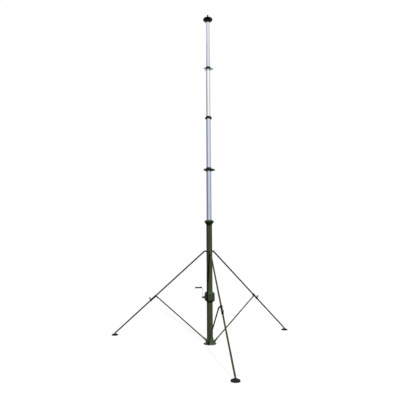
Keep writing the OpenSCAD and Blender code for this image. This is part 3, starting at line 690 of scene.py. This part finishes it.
# The sliding sleeves: dark castings that run on the legs, with a boss for the brace and one for the knob.
# A black plastic bush shows at each end.
sleeve_cast = sand_cast("sleeve_paint", screen(30, 33, 26), dust=0.15, skin=0.0002)
bush_plastic = moulded("bush_plastic", screen(24, 24, 26))
brace_eye, sleeve_foot, sleeve_top = 1.480, 0.155, 0.020
flange = [(0.0155, 0), (0.0205, 0), (0.0205, 0.0025), (0.0185, 0.0045), (0.0155, 0.0045)]
for side, turn in leg_turns.items():
    dress(sleeve_cast, "sleeve_" + side)
    bushes = bmesh.new()
    turned(bushes, flange, down_leg(turn) @ Matrix.Translation((0, 0, brace_eye + sleeve_foot)), 32)
    turned(bushes, flange, down_leg(turn) @ stand((0, 0, brace_eye - sleeve_top), (0, 0, -1)), 32)
    piece("sleeve_bushes_" + side, bushes, bush_plastic, "sleeve_" + side)


# The clamp knobs: six lobes moulded in black plastic on a steel screw.
# A zinc plated cap closes the screw's end.
knob_plastic = moulded("knob_plastic", screen(30, 30, 32))
knob_top, knob_along = -0.0618, brace_eye + 0.132
knob_cap = [(0, 0), (0.0075, 0), (0.0075, 0.001), (0.006, 0.0022), (0, 0.0026)]
for side, turn in leg_turns.items():
    dress(knob_plastic, "knob_" + side)
    cap = bmesh.new()
    turned(cap, knob_cap, down_leg(turn) @ stand((knob_top, 0, knob_along), (-1, 0, 0)), 24)
    piece("knob_cap_" + side, cap, bolt_zinc, "sleeve_" + side)


# The braces: olive steel tubes from the base to the sleeves, flattened to an eye at the top.
# The forks at their feet are blackened castings, held on by two rivets. The front brace is painted
# near-black: painted shade, standing for the shade on its underside.
brace_hinge = Vector((0.094, -0.040, 0.055))
brace_run = hinge_reach + brace_eye * math.sin(leg_lean) - brace_hinge.x
brace_rise = hinge_level - brace_eye * math.cos(leg_lean) - brace_hinge.z
brace_lean = math.atan2(brace_run, brace_rise)
brace_side = 0.0154
brace_paint = sprayed("brace_paint", screen(58, 68, 37), dust=0.1)
fork_cast = sand_cast("fork_paint", screen(26, 27, 24), dust=0.2, skin=0.0002)
# Near-black paint for the front brace: painted shade, standing for the shade on its underside.
painted_shade_paint = sprayed("front_brace_painted_shade", screen(26, 28, 22), dust=0.1)
for side, turn in leg_turns.items():
    dress(painted_shade_paint if side == "front" else brace_paint, "brace_" + side)
    dress(fork_cast, "brace_fork_" + side)
    foot = Matrix.Rotation(turn, 4, "Z") @ Matrix.Translation(brace_hinge)
    up_brace = foot @ Matrix.Rotation(brace_lean, 4, "Y")
    studs = bmesh.new()
    for along in (0.052, 0.066):
        for facing in (-1, 1):
            rivet(studs, up_brace @ stand((0, facing * brace_side, along), (0, facing, 0)), 0.0035)
    piece("fork_rivets_" + side, studs, bolt_zinc, "brace_" + side)


# The feet: black rubber-faced discs with a raised hub, and a thick rubber boot moulded over each, with two
# ridges round it. Each hangs on an ankle pin, which a domed cap closes on both sides.
foot_rubber = rubber("foot_rubber", screen(19, 19, 24), dust=0.1, bloomed=0.2)
boot_edge = [(0.0275, 0.0257), (0.0698, 0.0073), (0.0698, 0.0150), (0.0672, 0.0180)]
boot_top = [(0.057, 0.0222), (0.034, 0.0275), (0.0275, 0.0285)]
ridge = [(-0.002, -0.002), (0.002, -0.003), (0.0015, 0.002), (-0.001, 0.003)]
ankle_side = 0.0125
for side, turn in leg_turns.items():
    dress(foot_rubber, "foot_pad_" + side)
    centre = Matrix.Rotation(turn, 4, "Z") @ Matrix.Translation((foot_reach, 0, 0))
    boot = bmesh.new()
    turned(boot, boot_edge + boot_top, centre, 96)
    piece("foot_boot_" + side, boot, foot_rubber, "foot_" + side)
    ridges = bmesh.new()
    for radius, height in ((0.050, 0.0238), (0.040, 0.0261)):
        turned(ridges, [(radius + outer, height + up) for outer, up in ridge], centre, 64)
    piece("foot_ridges_" + side, ridges, foot_rubber, "foot_" + side)
    caps = bmesh.new()
    for facing in (-1, 1):
        rivet(caps, centre @ stand((0, facing * ankle_side, ankle_level), (0, facing, 0)), 0.0068)
    piece("ankle_caps_" + side, caps, cap_black, "foot_" + side)


# The surround: white, as the camera and polished metal see it. Low grey flags to the left and right put a
# dark edge on the metal tubes, and a soft light from behind fills the back.
def towards(tree, azimuth, narrow, wide):
    """1 for the part of the surround that lies in one direction, fading out beside it."""
    way = knot(tree, "TexCoord", {}).outputs["Generated"]
    fed = {0: way, 1: outwards(math.radians(azimuth))}
    near = knot(tree, "VectorMath", fed, operation="DOT_PRODUCT").outputs["Value"]
    return share(tree, near, math.cos(math.radians(wide)), math.cos(math.radians(narrow)))


scene = bpy.context.scene
scene.view_settings.view_transform = "Standard"
scene.world = scene.world or bpy.data.worlds.new("surround")
scene.world.use_nodes = True
air = scene.world.node_tree
air.nodes.clear()
white = (1, 1, 1, 1)
height = knot(air, "SeparateXYZ", {0: knot(air, "TexCoord", {}).outputs["Generated"]}).outputs["Z"]
low = share(air, height, 0.46, 0.52, 1, 0)
left_flag = both(air, towards(air, 155, 50, 72), 0.95)
right_flag = both(air, towards(air, 20, 50, 72), 0.5)
flags = both(air, low, both(air, left_flag, right_flag, "ADD"))
mirrored = layer(air, flags, white, screen(124, 131, 148))
behind = share(air, towards(air, 81, 20, 45), 0, 1, 0.03, 1.5)
path = knot(air, "LightPath", {})
lit = knot(air, "Background", {"Color": white, "Strength": behind})
shiny = knot(air, "Background", {"Color": mirrored, "Strength": 1.0})
plain = knot(air, "Background", {"Color": white, "Strength": 1.0})
bounced = both(air, path.outputs["Is Glossy Ray"], path.outputs["Is Transmission Ray"], "MAXIMUM")
direct = path.outputs["Is Camera Ray"]
around = knot(air, "MixShader", {0: bounced, 1: lit.outputs[0], 2: shiny.outputs[0]})
around = knot(air, "MixShader", {0: direct, 1: around.outputs[0], 2: plain.outputs[0]})
knot(air, "OutputWorld", {"Surface": around.outputs[0]})


# The floor: plain, pale and matt, and white as far as the camera and polished metal see it.
# It keeps the mast's shadow.
def seen_directly(tree):
    """1 for rays from the camera and for those that metal or glass passes on."""
    path = knot(tree, "LightPath", {})
    shiny = both(tree, path.outputs["Is Glossy Ray"], path.outputs["Is Transmission Ray"], "MAXIMUM")
    return both(tree, path.outputs["Is Camera Ray"], shiny, "MAXIMUM")


ground = bmesh.new()
bmesh.ops.create_grid(ground, x_segments=8, y_segments=8, size=60)
floor_mesh = bpy.data.meshes.new("floor")
ground.to_mesh(floor_mesh)
ground.free()
floor = bpy.data.objects.new("floor", floor_mesh)
scene.collection.objects.link(floor)
floor_finish, tree, shader = blank("floor_finish", gloss=0.0)
speckle = layer(tree, share(tree, mottle(tree, 0.02), 0.3, 0.7), screen(67, 67, 67), screen(71, 71, 71))
tree.links.new(speckle, shader.inputs["Base Color"])
shader.inputs["Roughness"].default_value = 0.9
glow = knot(tree, "Emission", {"Color": white, "Strength": 0.933})
lift = knot(tree, "AddShader", {0: shader.outputs[0], 1: glow.outputs[0]})
shown = knot(tree, "MixShader", {0: seen_directly(tree), 1: shader.outputs[0], 2: lift.outputs[0]})
output = next(n for n in tree.nodes if n.type == "OUTPUT_MATERIAL")
tree.links.new(shown.outputs[0], output.inputs["Surface"])
floor_mesh.materials.append(floor_finish)


# The key lamp: high in front, a little to the right of the camera.
# It puts the front leg's shadow on the left of the main tube.
key = bpy.data.lights.new("key", "SUN")
key.energy = 4.0
key.angle = math.radians(0.4)
key_lamp = bpy.data.objects.new("key", key)
scene.collection.objects.link(key_lamp)
azimuth, elevation = math.radians(-81), math.radians(58)
toward = Vector((math.cos(azimuth), math.sin(azimuth), math.tan(elevation)))
key_lamp.rotation_euler = toward.to_track_quat("Z", "Y").to_euler()


# The camera: where the photograph was taken from, a little left of the front leg and at eye height, looking
# slightly up. Its place, angles and lens were fitted by the feet, the brace joints and the collars.
view = bpy.data.cameras.new("camera")
view.lens = 33.617
view.sensor_width = 36
view.clip_end = 200
camera = bpy.data.objects.new("camera", view)
scene.collection.objects.link(camera)
viewpoint = Vector((-1.2114, -7.6574, 1.7384))
heading, rise, roll = math.radians(82.403), math.radians(8.43), math.radians(-0.2)
ahead = Vector((math.cos(heading) * math.cos(rise), math.sin(heading) * math.cos(rise), math.sin(rise)))
aimed = ahead.to_track_quat("-Z", "Y").to_matrix().to_4x4()
camera.matrix_world = Matrix.Translation(viewpoint) @ aimed @ Matrix.Rotation(roll, 4, "Z")
scene.camera = camera
